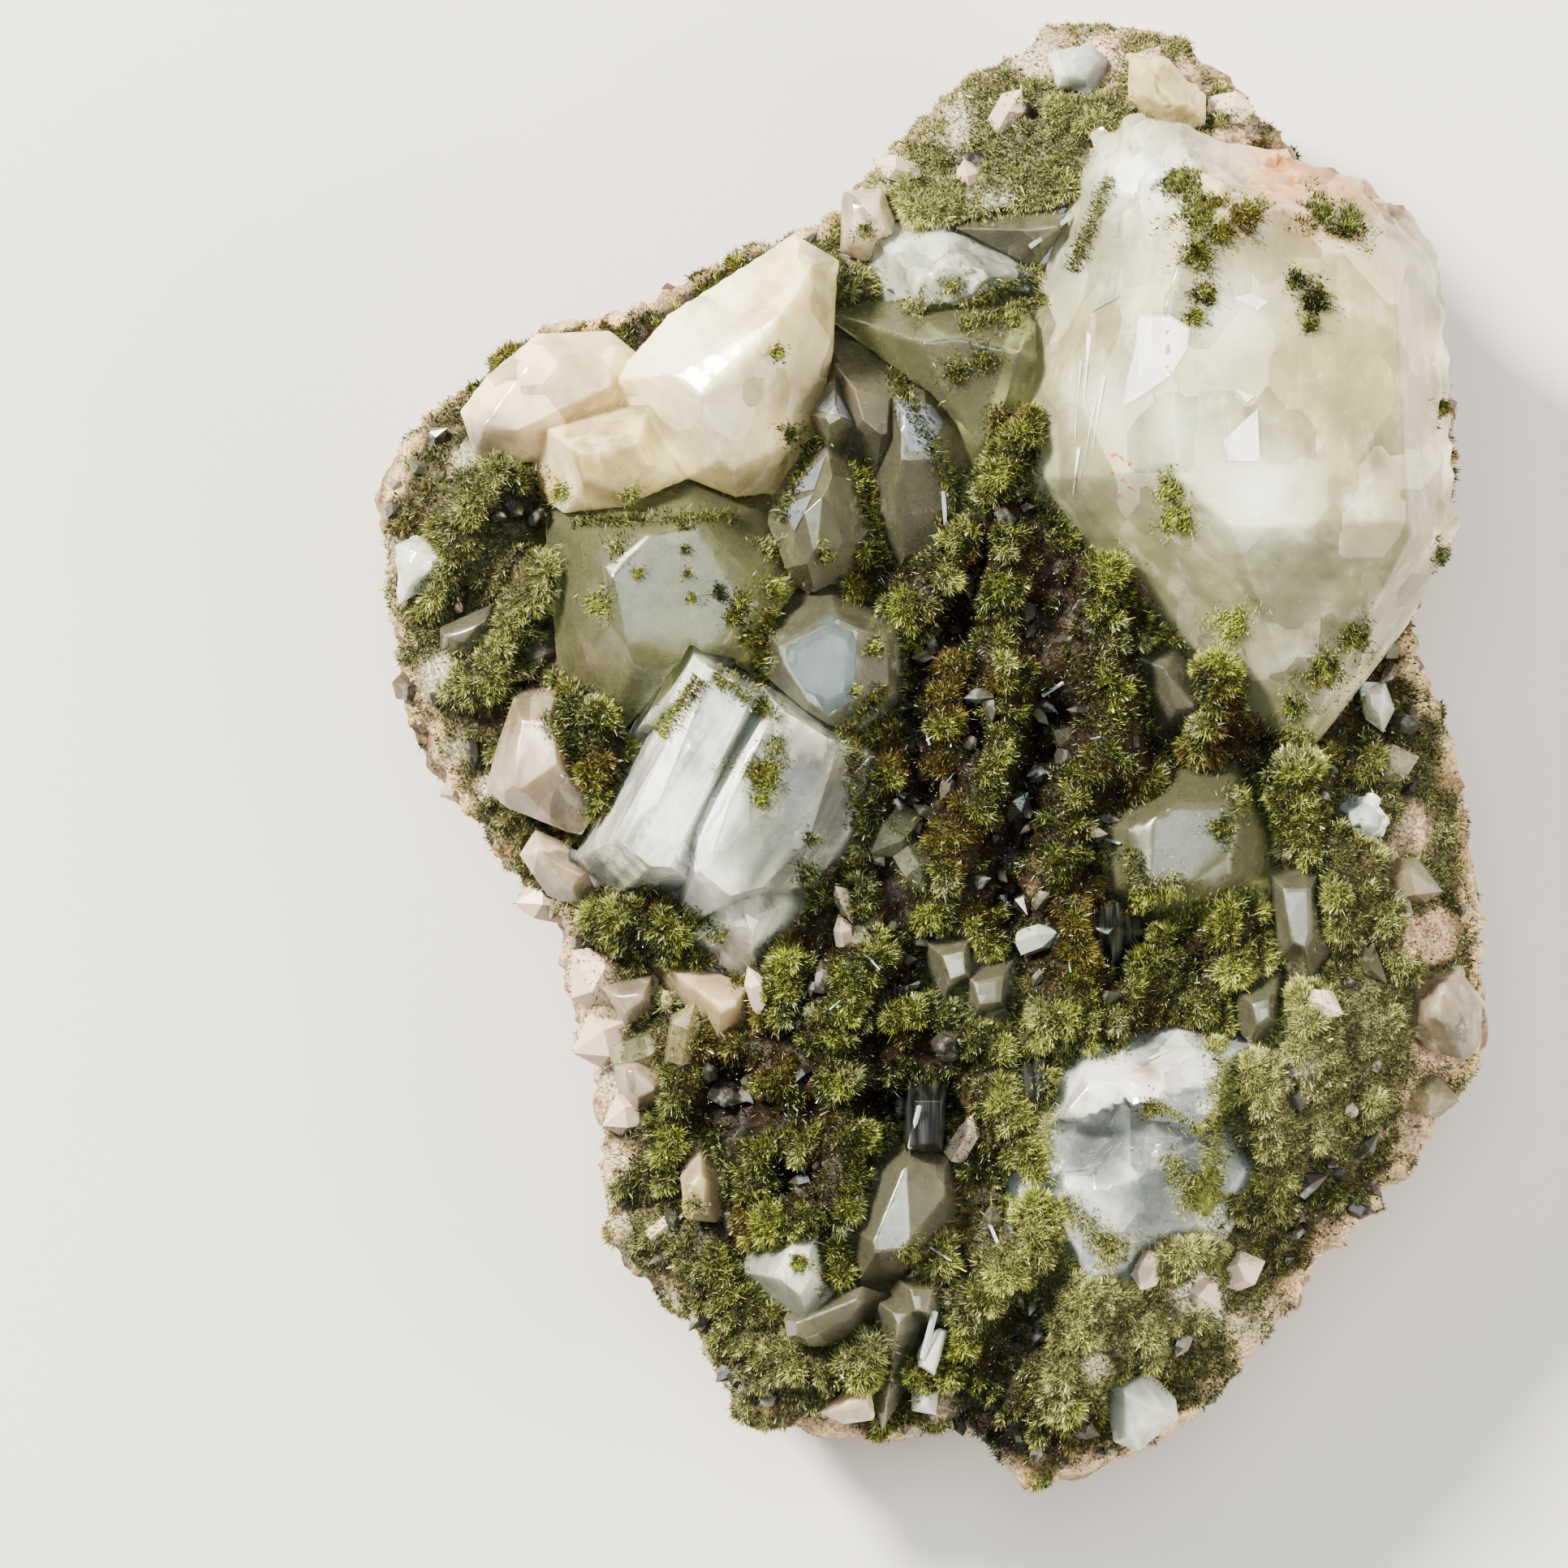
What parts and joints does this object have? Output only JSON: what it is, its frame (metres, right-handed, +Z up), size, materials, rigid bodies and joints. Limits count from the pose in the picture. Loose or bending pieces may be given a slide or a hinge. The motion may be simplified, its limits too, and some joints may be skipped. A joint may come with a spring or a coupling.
{
  "type": "epidote with quartz specimen",
  "caption": "Natural mineral specimen: a rough rock plate overgrown with velvety green epidote ridges, with milky, cream and grey quartz crystals standing on it.",
  "frame": {"origin": "middle of the footprint, on the surface that the specimen rests on", "axes": "+Y along the specimen, towards the end beside the big crystal; +Z up, the side that the crystals stand on; +X across it, towards the big crystal"},
  "size_m": [0.0455, 0.0602, 0.0209],
  "materials": {
    "epidote_crust": "matte",
    "epidote_dark": "satin",
    "quartz_milky": "satin",
    "quartz_white": "satin",
    "quartz_cream": "satin",
    "quartz_grey": "satin",
    "quartz_pinkish": "satin"
  },
  "bodies": {
    "root": {"epidote_matrix": "epidote_crust", "quartz_big_block": "quartz_milky", "quartz_tabular_block": "quartz_white", "quartz_centre_point": "quartz_grey", "quartz_hazy_dome": "quartz_milky", "quartz_cream_cluster": "quartz_cream", "quartz_upper_points": "quartz_grey", "quartz_back_block": "quartz_grey", "quartz_left_point": "quartz_pinkish", "quartz_left_wedge": "quartz_pinkish", "quartz_far_left_white": "quartz_white", "quartz_far_left_grey": "quartz_grey", "quartz_lower_left_beige": "quartz_cream", "quartz_lower_left_orange": "quartz_cream", "quartz_lower_left_pinkish": "quartz_pinkish", "quartz_lower_left_yellow": "quartz_cream", "quartz_lower_bright_point": "quartz_grey", "quartz_lower_slab": "quartz_grey", "quartz_dark_slab": "quartz_grey", "quartz_lower_facets": "quartz_grey", "quartz_lower_rod": "quartz_grey", "quartz_white_block": "quartz_white", "quartz_bottom_point": "quartz_white", "quartz_bottom_beige": "quartz_cream", "quartz_bottom_white": "quartz_white", "quartz_right_edge_pinkish": "quartz_pinkish", "quartz_glassy_crystal": "quartz_grey", "quartz_grey_block": "quartz_grey", "quartz_grey_wedge": "quartz_grey", "quartz_dark_point": "epidote_dark", "quartz_middle_facets": "quartz_grey", "quartz_slope_grey": "quartz_grey", "quartz_white_grain": "quartz_white", "quartz_side_clear": "quartz_white", "quartz_upper_blue": "quartz_white", "quartz_upper_sparkling": "quartz_pinkish", "quartz_upper_grey": "quartz_grey", "quartz_top_white": "quartz_white", "quartz_top_beige": "quartz_cream", "epidote_black_prism": "epidote_dark", "epidote_black_crystal": "epidote_dark"}
  },
  "joints": []
}
